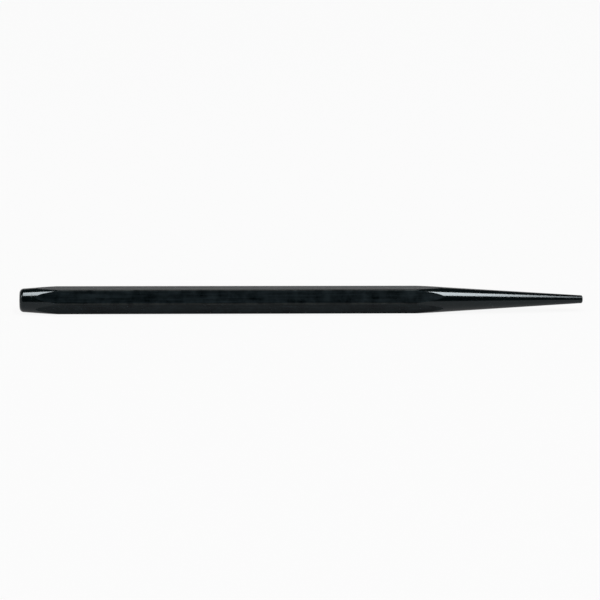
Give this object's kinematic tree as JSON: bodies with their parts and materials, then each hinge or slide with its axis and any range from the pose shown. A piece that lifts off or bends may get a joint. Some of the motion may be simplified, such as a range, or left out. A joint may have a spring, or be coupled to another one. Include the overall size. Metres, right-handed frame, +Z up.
{
  "type": "starting punch",
  "caption": "Black steel starting punch: a hexagonal bar with a long tapered nose and a small flat tip that loosens pins, and a short tapered head with a rounded rim for the hammer.",
  "frame": {"origin": "middle of the length, under the bar's axis, on the flat that the punch lies on", "axes": "+X along the bar from the struck face to the tip, +Z up, at right angles to the flat that it lies on"},
  "size_m": [0.1778, 0.009, 0.0079],
  "materials": {
    "black_oxide_steel": "black oxide, satin on the drawn flats and finer on the ground tapers"
  },
  "bodies": {
    "root": {"punch": "black_oxide_steel"}
  },
  "joints": []
}
